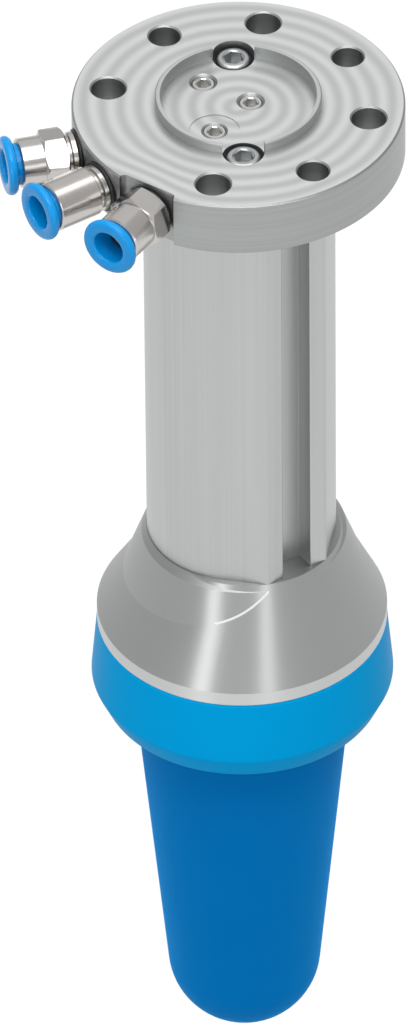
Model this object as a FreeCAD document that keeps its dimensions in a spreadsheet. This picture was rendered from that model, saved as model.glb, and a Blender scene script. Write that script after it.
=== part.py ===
import FreeCAD, Part
import math
import os
import Sketcher

os.makedirs("parts", exist_ok=True)
doc = FreeCAD.newDocument("shape_gripper")
Vector, Rotation, Placement = FreeCAD.Vector, FreeCAD.Rotation, FreeCAD.Placement

# Driving dimensions in millimetres. The origin is the centre of the flange's mounting face, +Z points up to the
# robot arm and the gripper hangs along -Z. The sensor slot faces -Y and the air fittings stand out around -X.
SIZES = (
    # robot flange
    ("flange_radius", 31.5),
    ("flange_thickness", 11.3),
    ("flange_edge", 0.4),
    ("bolt_circle_radius", 25.0),
    ("bolt_hole_radius", 3.3),
    ("dowel_hole_radius", 3.0),
    ("hole_edge", 0.25),
    ("collar_radius", 15.75),
    ("collar_height", 2.0),
    ("collar_wall", 0.9),
    ("recess_depth", 0.9),
    ("spigot_length", 5.0),
    ("flat_depth", 1.75),
    ("flat_half_length", 6.1),
    ("flat_corner_radius", 1.2),
    ("port_spot_face_depth", 0.4),
    ("port_spot_face_radius", 5.1),
    # flange screws and channel plugs
    ("screw_circle_radius", 15.1),
    ("screw_angle", 59.5),
    ("screw_sink", 0.4),
    ("head_radius", 3.5),
    ("head_height", 4.0),
    ("head_edge", 0.4),
    ("head_pocket_radius", 4.0),
    ("hex_across_flats", 3.0),
    ("hex_depth", 2.2),
    ("shank_radius", 2.0),
    ("flange_screw_length", 20.0),
    ("plug_1_reach", 2.8),
    ("plug_2_reach", 10.0),
    ("plug_3_reach", 8.5),
    ("plug_radius", 2.25),
    ("plug_length", 3.4),
    ("plug_sink", 0.3),
    ("plug_hex_across_flats", 2.5),
    ("plug_hex_depth", 1.8),
    ("plug_mouth_edge", 0.45),
    ("spot_face_radius", 4.8),
    ("spot_face_depth", 0.15),
    ("channel_radius", 1.5),
    ("port_way_radius", 1.7),
    ("cross_way_radius", 1.2),
    ("channel_circle_radius", 14.4),
    # air fittings
    ("port_depth", 5.9),
    ("left_port_spread", 19.5),
    ("right_port_spread", 22.0),
    ("port_thread_radius", 3.5),
    ("port_thread_length", 6.0),
    ("fitting_radius", 4.8),
    ("fitting_collar_radius", 4.5),
    ("fitting_neck_radius", 4.0),
    ("fitting_hex_across_flats", 10.0),
    ("fitting_edge", 0.3),
    ("fitting_collar_length", 1.1),
    ("fitting_neck_slope", 0.2),
    ("fitting_neck_length", 0.6),
    ("outer_seal_thickness", 0.8),
    ("outer_seal_radius", 4.9),
    ("collet_cavity_radius", 4.35),
    ("fitting_mouth_radius", 4.05),
    ("fitting_mouth_length", 1.4),
    ("tube_radius", 3.05),
    ("tube_seat_length", 4.5),
    ("tube_seal_length", 1.9),
    ("collet_length", 1.6),
    ("collet_edge", 0.4),
    ("collet_back_gap", 0.4),
    ("collet_claw_gap", 0.1),
    ("collet_claw_length", 0.5),
    ("ring_bead_length", 0.6),
    ("ring_travel", 1.0),
    ("ring_lip_radius", 5.7),
    ("ring_lip_thickness", 1.8),
    ("ring_lip_edge", 0.6),
    ("ring_opening_radius", 3.15),
    ("ring_mouth_edge", 0.6),
    ("fitting_length", 11.8),
    ("right_fitting_length", 11.4),
    ("left_hex_length", 4.6),
    ("right_hex_length", 4.0),
    ("left_hex_turn", 45.0),
    ("right_hex_turn", 0.0),
    # barrel
    ("barrel_radius", 18.25),
    ("barrel_length", 90.8),
    ("lobe_reach", 19.1),
    ("slot_width", 6.3),
    ("slot_depth", 3.9),
    ("bore_radius", 10.0),
    ("seal_width", 1.8),
    ("seal_depth", 1.6),
    ("bumper_thickness", 1.0),
    ("bumper_inner_radius", 7.0),
    ("bumper_gap", 0.5),
    # piston and rod
    ("piston_length", 10.0),
    ("piston_groove_depth", 2.4),
    ("seal_gap", 0.02),
    ("guide_band_width", 1.5),
    ("magnet_width", 1.7),
    ("magnet_gap", 0.3),
    ("rod_radius", 4.0),
    ("rod_thread_radius", 3.0),
    ("nut_pocket_radius", 6.2),
    ("nut_pocket_depth", 3.6),
    ("nut_height", 3.2),
    ("nut_across_flats", 10.0),
    ("running_gap", 0.05),
    ("stop_gap", 0.1),
    # bearing housing
    ("gland_length", 7.5),
    ("gland_radius", 9.0),
    ("gland_depth", 19.5),
    ("gland_bore_radius", 6.8),
    ("gland_web", 1.8),
    ("rod_seal_width", 3.0),
    ("bush_length", 10.0),
    ("wiper_width", 2.6),
    ("circlip_width", 0.8),
    ("circlip_bite", 0.7),
    ("circlip_inner_radius", 5.8),
    ("cone_top_radius", 17.8),
    ("cone_top_shift", 2.5),
    ("shoulder_shift", 0.9),
    ("shoulder_clearance", 0.18),
    ("shoulder_radius", 24.43),
    ("shoulder_depth", 14.0),
    ("rim_overhang", 2.6),
    ("rim_top_depth", 20.2),
    ("rim_height", 3.1),
    ("deck_thickness", 7.0),
    ("deck_radius", 18.3),
    ("skirt_radius", 25.5),
    ("skirt_inner_radius", 22.0),
    ("skirt_length", 10.2),
    ("housing_screw_length", 16.0),
    ("housing_screw_reach", 10.0),
    # clamping ring
    ("ring_height", 18.2),
    ("ring_wall", 3.8),
    ("ring_max_depth", 13.2),
    ("ring_foot_wall", 1.7),
    # silicone cap, tip insert
    ("cap_radius", 21.23),
    ("cap_gap", 0.3),
    ("cap_bead_thickness", 3.2),
    ("cap_bead_gap", 0.2),
    ("cap_wall", 2.6),
    ("cap_dome_radius", 15.0),
    ("cap_taper_angle", 5.2),
    ("cap_tip_wall", 2.8),
    ("cap_grip_radius", 8.6),
    ("cap_grip_overlap", 2.2),
    ("insert_gap", 0.15),
    ("insert_radius", 6.2),
    ("insert_flange_height", 2.4),
    ("insert_stem_radius", 4.9),
    ("insert_stem_length", 5.2),
    ("insert_thread_depth", 6.4),
    ("insert_thread_spare", 0.4),
    ("locknut_height", 3.0),
    # how far a cutter or a blank runs past the face that it cuts
    ("overrun", 2.0),
)


class Size:
    """A number with the sheet expression that gives it, so that a feature can be bound to the sheet."""

    def __init__(self, value, text):
        self.value = value
        self.text = text

    def __add__(self, other):
        other = as_size(other)
        return Size(self.value + other.value, f"({self.text} + {other.text})")

    def __sub__(self, other):
        other = as_size(other)
        return Size(self.value - other.value, f"({self.text} - {other.text})")

    def __mul__(self, other):
        other = as_size(other)
        return Size(self.value * other.value, f"({self.text} * {other.text})")

    def __truediv__(self, other):
        other = as_size(other)
        return Size(self.value / other.value, f"({self.text} / {other.text})")

    def __neg__(self):
        return Size(-self.value, f"(-1 * {self.text})")

    def root(self):
        return Size(math.sqrt(self.value), f"sqrt({self.text})")

    def sin(self):
        return Size(math.sin(math.radians(self.value)), f"sin({self.text} * 1 deg)")

    def cos(self):
        return Size(math.cos(math.radians(self.value)), f"cos({self.text} * 1 deg)")


def as_size(number):
    """Turn a plain number into a Size."""
    return number if isinstance(number, Size) else Size(float(number), repr(float(number)))


sheet = doc.addObject("Spreadsheet::Sheet", "Sizes")


class Names:
    """The driving dimensions by name."""


d = Names()
for row, (name, value) in enumerate(SIZES, start=1):
    sheet.set(f"A{row}", name)
    sheet.set(f"B{row}", str(value))
    sheet.setAlias(f"B{row}", name)
    setattr(d, name, Size(float(value), f"Sizes.{name}"))
doc.recompute()

pieces = []


def bind(thing, **fields):
    """Bind fields of an object to sheet expressions."""
    for field, amount in fields.items():
        thing.setExpression(field, as_size(amount).text)


def placed(x=0, y=0, z=0, turn=None):
    """A placement at a point given in sizes, turned by a rotation."""
    point = Vector(as_size(x).value, as_size(y).value, as_size(z).value)
    return Placement(point, turn or Rotation())


def put(thing, x=0, y=0, z=0, turn=None):
    """Place an object and bind its position."""
    thing.Placement = placed(x, y, z, turn)
    for axis, amount in (("x", x), ("y", y), ("z", z)):
        if isinstance(amount, Size):
            thing.setExpression(f"Placement.Base.{axis}", amount.text)
    return thing


def start_body(name):
    """A new body with its own label."""
    body = doc.addObject("PartDesign::Body", name)
    body.Label = name
    return body


def start_sketch(body, role, name, lift=None):
    """A sketch on one of the body's own origin planes, lifted along the plane's normal if asked."""
    sketch = body.newObject("Sketcher::SketchObject", name)
    plane = next(item for item in body.Origin.OriginFeatures if item.Role == role)
    sketch.AttachmentSupport = [(plane, "")]
    sketch.MapMode = "FlatFace"
    if lift is not None:
        sketch.setExpression("AttachmentOffset.Base.z", lift.text)
    return sketch


def fix_point(sketch, curve, end, x, y):
    """Hold one end of a curve at sheet-bound coordinates."""
    for kind, amount in (("DistanceX", x), ("DistanceY", y)):
        amount = as_size(amount)
        at = sketch.addConstraint(Sketcher.Constraint(kind, -1, 1, curve, end, amount.value))
        sketch.setExpression(f"Constraints[{at}]", amount.text)


def arc_centre(first, second, radius, side):
    """The centre of an arc between two points; side +1 puts it to the left of the way from first to second."""
    chord = second.sub(first)
    half = chord.Length / 2
    across = Vector(-chord.y, chord.x, 0).normalize()
    rise = math.sqrt(max(radius * radius - half * half, 0.0))
    return first + chord * 0.5 + across * rise * side


def outline(sketch, points):
    """A closed outline. A point is (x, y), or (x, y, radius, side) where an arc leads to it."""
    corners = [Vector(as_size(p[0]).value, as_size(p[1]).value, 0) for p in points]
    for index, point in enumerate(points):
        first, second = corners[index - 1], corners[index]
        previous = points[index - 1]
        if len(point) == 2:
            curve = sketch.addGeometry(Part.LineSegment(first, second), False)
            ends = (1, 2)
        else:
            radius, side = as_size(point[2]), point[3]
            centre = arc_centre(first, second, radius.value, side)
            angles = [math.atan2(end.y - centre.y, end.x - centre.x) for end in (first, second)]
            ends = (1, 2)
            if side < 0:
                angles.reverse()
                ends = (2, 1)
            circle = Part.Circle(centre, Vector(0, 0, 1), radius.value)
            curve = sketch.addGeometry(Part.ArcOfCircle(circle, angles[0], angles[1]), False)
            at = sketch.addConstraint(Sketcher.Constraint("Radius", curve, radius.value))
            sketch.setExpression(f"Constraints[{at}]", radius.text)
        fix_point(sketch, curve, ends[0], previous[0], previous[1])
        fix_point(sketch, curve, ends[1], point[0], point[1])
    return sketch


def circles(sketch, places):
    """Full circles given as (x, y, radius)."""
    for x, y, radius in places:
        x, y, radius = as_size(x), as_size(y), as_size(radius)
        circle = Part.Circle(Vector(x.value, y.value, 0), Vector(0, 0, 1), radius.value)
        curve = sketch.addGeometry(circle, False)
        fix_point(sketch, curve, 3, x, y)
        at = sketch.addConstraint(Sketcher.Constraint("Radius", curve, radius.value))
        sketch.setExpression(f"Constraints[{at}]", radius.text)
    return sketch


def hexagon(sketch, across_flats, turn=0):
    """A regular hexagon, measured across its flats, with a corner at the given angle from local X."""
    reach = across_flats / (2 * math.cos(math.pi / 6))
    points = []
    for corner in range(6):
        angle = as_size(turn) + 60 * corner
        points.append((reach * angle.cos(), reach * angle.sin()))
    return outline(sketch, points)


def feature(body, kind, sketch, name, **fields):
    """A sketch feature of a body, checked to hold a solid."""
    made = body.newObject(f"PartDesign::{kind}", name)
    made.Profile = sketch
    for field in ("Reversed", "Midplane", "Type"):
        if field in fields:
            setattr(made, field, fields.pop(field))
    if kind in ("Revolution", "Groove"):
        made.ReferenceAxis = (sketch, ["V_Axis"])
        made.Angle = 360
    bind(made, **fields)
    sketch.Visibility = False
    body.Tip = made
    return made


def turned(name, points, keep=True):
    """A turned piece: an outline in the XZ plane spun about Z."""
    body = start_body(name)
    sketch = outline(start_sketch(body, "XZ_Plane", f"{name}_profile"), points)
    feature(body, "Revolution", sketch, f"{name}_turning")
    if keep:
        pieces.append(body)
    return body


def cylinder(name, radius, height, x=0, y=0, z=0, turn=None):
    """A bound cylinder that stands on its placement."""
    rod = doc.addObject("Part::Cylinder", name)
    rod.Radius, rod.Height = as_size(radius).value, as_size(height).value
    bind(rod, Radius=radius, Height=height)
    return put(rod, x, y, z, turn)


def cut(name, base, tools):
    """One solid with tools taken away."""
    joined = tools[0]
    if len(tools) > 1:
        joined = doc.addObject("Part::MultiFuse", f"{name}_tools")
        joined.Shapes = tools
    result = doc.addObject("Part::Cut", name)
    result.Base, result.Tool = base, joined
    result.Label = name
    return result


def outward(angle):
    """The rotation that turns +Z to a horizontal direction, with the local X axis kept vertical."""
    radians = math.radians(angle)
    along = Vector(math.cos(radians), math.sin(radians), 0)
    return Rotation(Vector(0, 0, 1), along.cross(Vector(0, 0, 1)), along, "ZXY")


DOWN = Rotation(Vector(1, 0, 0), 180)

# Levels along the axis, all from the driving dimensions.
flange_foot = -d.flange_thickness
spigot_foot = flange_foot - d.spigot_length
barrel_foot = flange_foot - d.barrel_length
gland_top = barrel_foot + d.gland_length
piston_foot = gland_top + d.bumper_thickness + d.stop_gap
piston_top = piston_foot + d.piston_length
stud_top = piston_top - d.nut_pocket_depth + d.nut_height
deck_foot = barrel_foot - d.deck_thickness
gland_foot = gland_top - d.gland_depth
rod_seal_top = gland_top - d.gland_web
bush_top = rod_seal_top - d.rod_seal_width
wiper_top = bush_top - d.bush_length
circlip_top = wiper_top - d.wiper_width
rim_top = barrel_foot - d.rim_top_depth
rim_radius = d.skirt_radius + d.rim_overhang
ring_top = rim_top - d.rim_height
skirt_foot = ring_top - d.skirt_length
bead_foot = skirt_foot - d.cap_bead_thickness
ring_foot = ring_top - d.ring_height
dome_level = ring_foot - (d.cap_radius * d.cap_taper_angle.cos() - d.cap_dome_radius) / d.cap_taper_angle.sin()
cap_tip = dome_level - d.cap_dome_radius
insert_foot = cap_tip + d.cap_tip_wall
insert_ledge = insert_foot + d.insert_flange_height
insert_top = insert_ledge + d.insert_stem_length
locknut_top = insert_top + d.locknut_height
port_level = -d.port_depth
rod_way = d.rod_radius + d.running_gap
lip_rest = d.ring_travel + d.running_gap

# Directions of the three air ports, as angles about Z.
PORT_ANGLES = {
    "left": 180 - d.left_port_spread.value,
    "middle": 180.0,
    "right": 180 + d.right_port_spread.value,
}
FITTING_SIDES = tuple(PORT_ANGLES)
BOLT_ANGLES = (45, 135, 225, 315)
DOWEL_ANGLES = (0, 90, 270)
# Places of the plugs in the recess, as (radius, angle).
PLUG_PLACES = ((d.plug_1_reach, 0.0), (d.plug_2_reach, 97.5), (d.plug_3_reach, 204.0))


def ray(radius, angle):
    """Sheet-bound x and y of a point at a radius and an angle about Z."""
    radius = as_size(radius)
    radians = math.radians(angle)
    return radius * math.cos(radians), radius * math.sin(radians)


def seat_reach(side):
    """Distance from the axis to the face on which a fitting seats."""
    return d.flange_radius - (d.flat_depth if side == "right" else d.port_spot_face_depth)


# The flange is turned with its collar, recess and spigot, then drilled and milled.
def make_flange():
    rim, edge, small = d.flange_radius, d.flange_edge, d.hole_edge
    collar_inside = d.collar_radius - d.collar_wall
    spigot = d.bore_radius - d.seal_gap
    groove = spigot - d.seal_depth
    groove_top = flange_foot - d.seal_width
    body = turned(
        "flange_blank",
        [
            (0, -d.recess_depth),
            (0, spigot_foot),
            (spigot - edge, spigot_foot),
            (spigot, spigot_foot + edge),
            (spigot, groove_top - d.seal_width),
            (groove, groove_top - d.seal_width),
            (groove, groove_top),
            (spigot, groove_top),
            (spigot, flange_foot),
            (rim - edge, flange_foot),
            (rim, flange_foot + edge),
            (rim, -edge),
            (rim - edge, 0),
            (d.collar_radius, 0),
            (d.collar_radius, d.collar_height - small),
            (d.collar_radius - small, d.collar_height),
            (collar_inside, d.collar_height),
            (collar_inside, -d.recess_depth),
        ],
        keep=False,
    )
    holes = [(*ray(d.bolt_circle_radius, angle), d.bolt_hole_radius) for angle in BOLT_ANGLES]
    holes += [(*ray(d.bolt_circle_radius, angle), d.dowel_hole_radius) for angle in DOWEL_ANGLES]
    sketch = circles(start_sketch(body, "XY_Plane", "flange_holes"), holes)
    feature(body, "Pocket", sketch, "flange_drilling", Length=d.flange_thickness + d.collar_height)
    tools = []
    for index, (x, y, radius) in enumerate(holes):
        tools.append(mouth(f"hole_mouth_{index}", radius, small, x, y, -small))
        tools.append(mouth(f"hole_foot_{index}", radius, small, x, y, flange_foot + small, DOWN))
    for index in range(2):
        x, y = ray(d.screw_circle_radius, d.screw_angle.value + 180 * index)
        reach = d.head_height + d.screw_sink
        pocket = d.head_pocket_radius
        tools.append(cylinder(f"head_pocket_{index}", pocket, reach + d.collar_height, x, y, -reach))
        tools.append(cylinder(f"screw_way_{index}", d.shank_radius, d.flange_thickness, x, y, flange_foot))
    floor = -d.recess_depth
    for index, (radius, angle) in enumerate(PLUG_PLACES):
        x, y = ray(radius, angle)
        depth = d.plug_length + d.plug_sink
        foot = spigot_foot if index == 0 else port_level
        wide = d.plug_mouth_edge
        tools.append(cylinder(f"plug_hole_{index}", d.plug_radius, depth, x, y, floor - depth))
        tools.append(cylinder(f"plug_drill_{index}", d.channel_radius, floor - foot, x, y, foot))
        tools.append(mouth(f"plug_mouth_{index}", d.plug_radius, wide, x, y, floor - wide))
    x, y = ray(*PLUG_PLACES[2])
    sunk = d.spot_face_depth
    tools.append(cylinder("spot_face", d.spot_face_radius, sunk, x, y, floor - sunk))
    tools += port_tools()
    pieces.append(cut("robot_flange", body, tools))


def mouth(name, radius, edge, x, y, z, turn=None):
    """A cone that widens a hole by an edge break."""
    cone = doc.addObject("Part::Cone", name)
    cone.Radius1, cone.Radius2, cone.Height = radius.value, (radius + edge).value, edge.value
    bind(cone, Radius1=radius, Radius2=radius + edge, Height=edge)
    return put(cone, x, y, z, turn)


# Each port is a threaded hole from the rim with a drilled way on to its channel; the right one starts from a
# milled flat with hollow corners, the others from small spot faces.
def port_tools():
    tools = []
    beyond = d.channel_circle_radius - d.port_way_radius
    drill_ends = {"left": beyond, "middle": -d.plug_1_reach, "right": d.plug_3_reach}
    for side, angle in PORT_ANGLES.items():
        seat, turn = seat_reach(side), outward(angle)
        start = seat - d.port_thread_length
        x, y = ray(start, angle)
        long = d.port_thread_length + d.overrun
        tools.append(cylinder(f"{side}_thread", d.port_thread_radius, long, x, y, port_level, turn))
        x, y = ray(drill_ends[side], angle)
        way = start - drill_ends[side]
        tools.append(cylinder(f"{side}_way", d.port_way_radius, way, x, y, port_level, turn))
        if side == "right":
            tools.append(notch(side, angle))
        else:
            x, y = ray(seat, angle)
            far = d.flange_radius - seat + d.overrun
            tools.append(cylinder(f"{side}_spot_face", d.port_spot_face_radius, far, x, y, port_level, turn))
        if side != "middle":
            x, y = ray(d.channel_circle_radius, angle)
            high = port_level - flange_foot
            tools.append(cylinder(f"{side}_channel_top", d.channel_radius, high, x, y, flange_foot))
    first = Vector(*(c.value for c in ray(d.channel_circle_radius, PORT_ANGLES["left"])), 0)
    last = Vector(*(c.value for c in ray(*PLUG_PLACES[1])), 0)
    way = last.sub(first)
    turn = outward(math.degrees(math.atan2(way.y, way.x)))
    tools.append(cylinder("cross_way", d.channel_radius, way.Length, first.x, first.y, port_level, turn))
    return tools


def notch(side, angle):
    """The milled flat of a side port."""
    body = start_body(f"{side}_notch")
    reach, half, bend = seat_reach(side), d.flat_half_length, d.flat_corner_radius
    far = d.flange_radius + d.overrun
    sketch = outline(
        start_sketch(body, "XY_Plane", f"{side}_notch_plan"),
        [
            (far, half),
            (far, -half),
            (reach + bend, -half),
            (reach, bend - half, bend, -1),
            (reach, half - bend),
            (reach + bend, half, bend, -1),
        ],
    )
    feature(body, "Pad", sketch, f"{side}_notch_block", Length=d.flange_thickness + d.overrun * 2)
    return put(body, 0, 0, flange_foot - d.overrun, Rotation(Vector(0, 0, 1), angle))


def socket_screws(name, places, level, length, hex_size, flip=False, head=True):
    """A group of like socket screws as one node; places are (radius, angle)."""
    solids = []
    for index, (radius, angle) in enumerate(places):
        x, y = ray(radius, angle)
        label = f"{name}_{index + 1}"
        body = start_body(label)
        top, edge, shank = d.head_height, d.head_edge, d.shank_radius
        points = [
            (0, -length),
            (shank - edge, -length),
            (shank, edge - length),
            (shank, 0),
            (d.head_radius, 0),
            (d.head_radius, top - edge),
            (d.head_radius - edge, top),
            (0, top),
        ]
        depth = d.hex_depth
        if not head:
            top = as_size(0)
            points = [(0, -length), (d.plug_radius, -length), (d.plug_radius, 0), (0, 0)]
            depth = d.plug_hex_depth
        profile = outline(start_sketch(body, "XZ_Plane", f"{label}_profile"), points)
        feature(body, "Revolution", profile, f"{label}_turning")
        recess = hexagon(start_sketch(body, "XY_Plane", f"{label}_hex", top), hex_size)
        feature(body, "Pocket", recess, f"{label}_socket", Length=depth)
        put(body, x, y, level, DOWN if flip else Rotation(Vector(0, 0, 1), angle))
        solids.append(body)
    group = doc.addObject("Part::Compound", name)
    group.Links = solids
    group.Label = name
    pieces.append(group)


# A push-in fitting is built along its own +Z axis, which points outwards; zero is the face on which it seats.
def make_fitting(side):
    length = d.right_fitting_length if side == "right" else d.fitting_length
    seat = d.outer_seal_thickness
    angle = PORT_ANGLES[side]
    x, y = ray(seat_reach(side), angle)
    turn = outward(angle)
    radius, collar, neck = d.fitting_radius, d.fitting_collar_radius, d.fitting_neck_radius
    thread, cavity, edge = d.port_thread_radius, d.collet_cavity_radius, d.fitting_edge
    mouth_foot = length - d.fitting_mouth_length
    bead_top = mouth_foot - d.running_gap
    stem_foot = bead_top - d.ring_bead_length
    collet_top = stem_foot - d.ring_travel - d.stop_gap
    collet_foot = collet_top - d.collet_length
    seal_foot = collet_foot - d.tube_seal_length
    tube_foot = seal_foot - d.tube_seat_length
    neck_foot = seat + d.fitting_collar_length + d.fitting_neck_slope
    neck_top = neck_foot + d.fitting_neck_length
    shape = [
        (collar, seat),
        (collar, seat + d.fitting_collar_length),
        (neck, neck_foot),
        (neck, neck_top),
        (radius, neck_top + d.fitting_neck_slope),
    ]
    hex_foot, hex_length, hex_turn = neck_top, d.left_hex_length, d.left_hex_turn
    if side == "right":
        shape = [(collar, seat)]
        hex_foot, hex_length, hex_turn = seat, d.right_hex_length, d.right_hex_turn
    body = start_body(f"{side}_fitting_body")
    points = [
        (d.channel_radius, -d.port_thread_length),
        (thread, -d.port_thread_length),
        (thread, seat),
        *shape,
        (radius, hex_foot + edge),
        (radius, length - edge),
        (radius - edge, length),
        (d.fitting_mouth_radius, length),
        (d.fitting_mouth_radius, mouth_foot),
        (cavity, mouth_foot),
        (cavity, seal_foot),
        (d.tube_radius, seal_foot),
        (d.tube_radius, tube_foot),
        (d.channel_radius, tube_foot),
    ]
    profile = outline(start_sketch(body, "XZ_Plane", f"{side}_fitting_profile"), points)
    feature(body, "Revolution", profile, f"{side}_fitting_turning")
    if side != "middle":
        plan = start_sketch(body, "XY_Plane", f"{side}_fitting_hex", hex_foot)
        hexagon(plan, d.fitting_hex_across_flats, hex_turn)
        circles(plan, [(0, 0, d.fitting_radius - edge)])
        feature(body, "Pad", plan, f"{side}_fitting_spanner_hex", Length=hex_length)
    pieces.append(put(body, x, y, port_level, turn))
    outer, claw = d.outer_seal_radius, d.tube_radius + d.collet_claw_gap
    parts = {
        "outer_seal": [(thread, 0), (outer, 0), (outer, seat), (thread, seat)],
        "tube_seal": [
            (d.tube_radius, seal_foot),
            (cavity, seal_foot),
            (cavity, collet_foot),
            (d.tube_radius, collet_foot),
        ],
        "collet": [
            (claw + d.collet_back_gap, collet_foot),
            (cavity, collet_foot),
            (cavity, collet_top - d.collet_edge),
            (cavity - d.collet_edge, collet_top),
            (claw + d.collet_claw_length, collet_top),
            (claw, collet_top - d.collet_claw_length),
        ],
    }
    for part_name, points in parts.items():
        put(turned(f"{side}_{part_name}", points), x, y, port_level, turn)
    stem = d.fitting_mouth_radius - d.running_gap
    bead = cavity - d.running_gap
    lip_foot = length + lip_rest
    lip_top = lip_foot + d.ring_lip_thickness
    lip, bend, opening = d.ring_lip_radius, d.ring_lip_edge, d.ring_opening_radius
    ring = turned(
        f"{side}_release_ring",
        [
            (opening, stem_foot),
            (bead, stem_foot),
            (bead, bead_top),
            (stem, bead_top),
            (stem, lip_foot),
            (lip - bend, lip_foot),
            (lip, lip_foot + bend, bend, 1),
            (lip, lip_top - bend),
            (lip - bend, lip_top, bend, 1),
            (opening + d.ring_mouth_edge, lip_top),
            (opening, lip_top - d.ring_mouth_edge),
        ],
    )
    put(ring, x, y, port_level, turn)


# The barrel is an extrusion: a round tube with a lobe for the sensor slot, and long air channels in its wall.
def make_barrel():
    body = start_body("barrel_blank")
    radius, reach = d.barrel_radius, d.lobe_reach
    tangent = radius * math.sqrt(0.5)
    corner = radius * math.sqrt(2) - reach
    long = d.barrel_length
    plan = circles(start_sketch(body, "XY_Plane", "barrel_round"), [(0, 0, radius)])
    feature(body, "Pad", plan, "barrel_tube", Length=long, Reversed=True)
    lobe = outline(
        start_sketch(body, "XY_Plane", "barrel_lobe"),
        [(0, 0), (-tangent, -tangent), (-corner, -reach), (corner, -reach), (tangent, -tangent)],
    )
    feature(body, "Pad", lobe, "barrel_slot_lobe", Length=long, Reversed=True)
    half, floor = d.slot_width / 2, d.slot_depth - reach
    slot = outline(
        start_sketch(body, "XY_Plane", "barrel_slot"),
        [(-half, floor), (-half, -reach - d.overrun), (half, -reach - d.overrun), (half, floor)],
    )
    feature(body, "Pocket", slot, "barrel_sensor_slot", Length=long + d.overrun)
    bore = circles(start_sketch(body, "XY_Plane", "barrel_bore_plan"), [(0, 0, d.bore_radius)])
    feature(body, "Pocket", bore, "barrel_bore", Length=long + d.overrun)
    put(body, 0, 0, flange_foot)
    tools = []
    thread = d.flange_screw_length + d.head_height + d.screw_sink - d.flange_thickness + d.overrun
    for index in range(2):
        x, y = ray(d.screw_circle_radius, d.screw_angle.value + 180 * index)
        name = f"barrel_thread_{index}"
        tools.append(cylinder(name, d.shank_radius, thread, x, y, flange_foot - thread))
    for index, angle in enumerate(BOLT_ANGLES):
        x, y = ray(d.channel_circle_radius, angle)
        name = f"barrel_foot_thread_{index}"
        tools.append(cylinder(name, d.shank_radius, d.housing_screw_reach, x, y, barrel_foot))
    x, y = ray(d.channel_circle_radius, PORT_ANGLES["left"])
    tools.append(cylinder("cap_channel", d.channel_radius, long, x, y, barrel_foot))
    x, y = ray(d.channel_circle_radius, PORT_ANGLES["right"])
    low = gland_top - d.stop_gap
    tools.append(cylinder("rod_side_channel", d.channel_radius, flange_foot - low, x, y, low))
    x, y = ray(d.bore_radius - d.overrun, PORT_ANGLES["right"])
    cross = d.channel_circle_radius - d.bore_radius + d.overrun
    turn, lift = outward(PORT_ANGLES["right"]), gland_top + d.channel_radius
    tools.append(cylinder("rod_side_cross", d.cross_way_radius, cross, x, y, lift, turn))
    pieces.append(cut("cylinder_barrel", body, tools))


# The housing is a cone that leans towards the sensor slot, joined with a steeper conical shoulder that stands a
# little off the barrel's axis, a turned rim and skirt, and a bored gland for the rod.
def make_housing():
    body = start_body("housing_blank")
    top = start_sketch(body, "XY_Plane", "housing_cone_top", barrel_foot)
    circles(top, [(0, -d.cone_top_shift, d.cone_top_radius)])
    foot = start_sketch(body, "XY_Plane", "housing_cone_foot", rim_top)
    circles(foot, [(0, 0, rim_radius)])
    cone = body.newObject("PartDesign::AdditiveLoft", "housing_cone")
    cone.Profile, cone.Sections, cone.Ruled = top, [foot], True
    body.Tip = cone
    start = d.barrel_radius + d.shoulder_shift + d.shoulder_clearance
    shoulder_foot = barrel_foot - d.shoulder_depth
    shoulder = turned(
        "shoulder",
        [
            (0, barrel_foot),
            (start, barrel_foot),
            (d.shoulder_radius, shoulder_foot),
            (0, shoulder_foot),
        ],
        keep=False,
    )
    put(shoulder, 0, -d.shoulder_shift, 0)
    tools = [gland_and_cavity()]
    for index, angle in enumerate(BOLT_ANGLES):
        x, y = ray(d.channel_circle_radius, angle)
        name = f"housing_screw_way_{index}"
        tools.append(cylinder(name, d.shank_radius, d.deck_thickness, x, y, deck_foot))
    x, y = ray(d.channel_circle_radius, PORT_ANGLES["left"])
    tools.append(cylinder("housing_cap_channel", d.channel_radius, d.deck_thickness, x, y, deck_foot))
    pieces.append(cut("cone_housing", fuse("housing_shape", [body, shoulder, housing_core()]), tools))


def fuse(name, solids):
    """Solids joined into one."""
    joined = doc.addObject("Part::MultiFuse", name)
    joined.Shapes = solids
    return joined


def housing_core():
    """The spigot in the barrel, the rim and the skirt, turned as one."""
    spigot = d.bore_radius - d.seal_gap
    groove = spigot - d.seal_depth
    seal_top = gland_top - d.bumper_thickness
    edge = d.flange_edge
    core = [
        (0, gland_top),
        (spigot - edge, gland_top),
        (spigot, gland_top - edge),
        (spigot, seal_top),
        (groove, seal_top),
        (groove, seal_top - d.seal_width),
        (spigot, seal_top - d.seal_width),
        (spigot, rim_top),
        (rim_radius, rim_top),
        (rim_radius, ring_top),
        (d.skirt_radius, ring_top),
        (d.skirt_radius, skirt_foot),
        (0, skirt_foot),
    ]
    return turned("rim_and_skirt", core, keep=False)


def gland_and_cavity():
    """The bore for the rod's seals and the hollow above the cap."""
    seat, bite = d.gland_bore_radius, d.gland_bore_radius + d.circlip_bite
    clip_foot = circlip_top - d.circlip_width
    inside = [
        (0, gland_top + d.overrun),
        (rod_way, gland_top + d.overrun),
        (rod_way, rod_seal_top),
        (seat, rod_seal_top),
        (seat, circlip_top),
        (bite, circlip_top),
        (bite, clip_foot),
        (seat, clip_foot),
        (seat, gland_foot),
        (d.gland_radius, gland_foot),
        (d.gland_radius, deck_foot),
        (d.deck_radius, deck_foot),
        (d.skirt_inner_radius, ring_top),
        (d.skirt_inner_radius, skirt_foot - d.overrun),
        (0, skirt_foot - d.overrun),
    ]
    return turned("gland_and_cavity", inside, keep=False)


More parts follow.
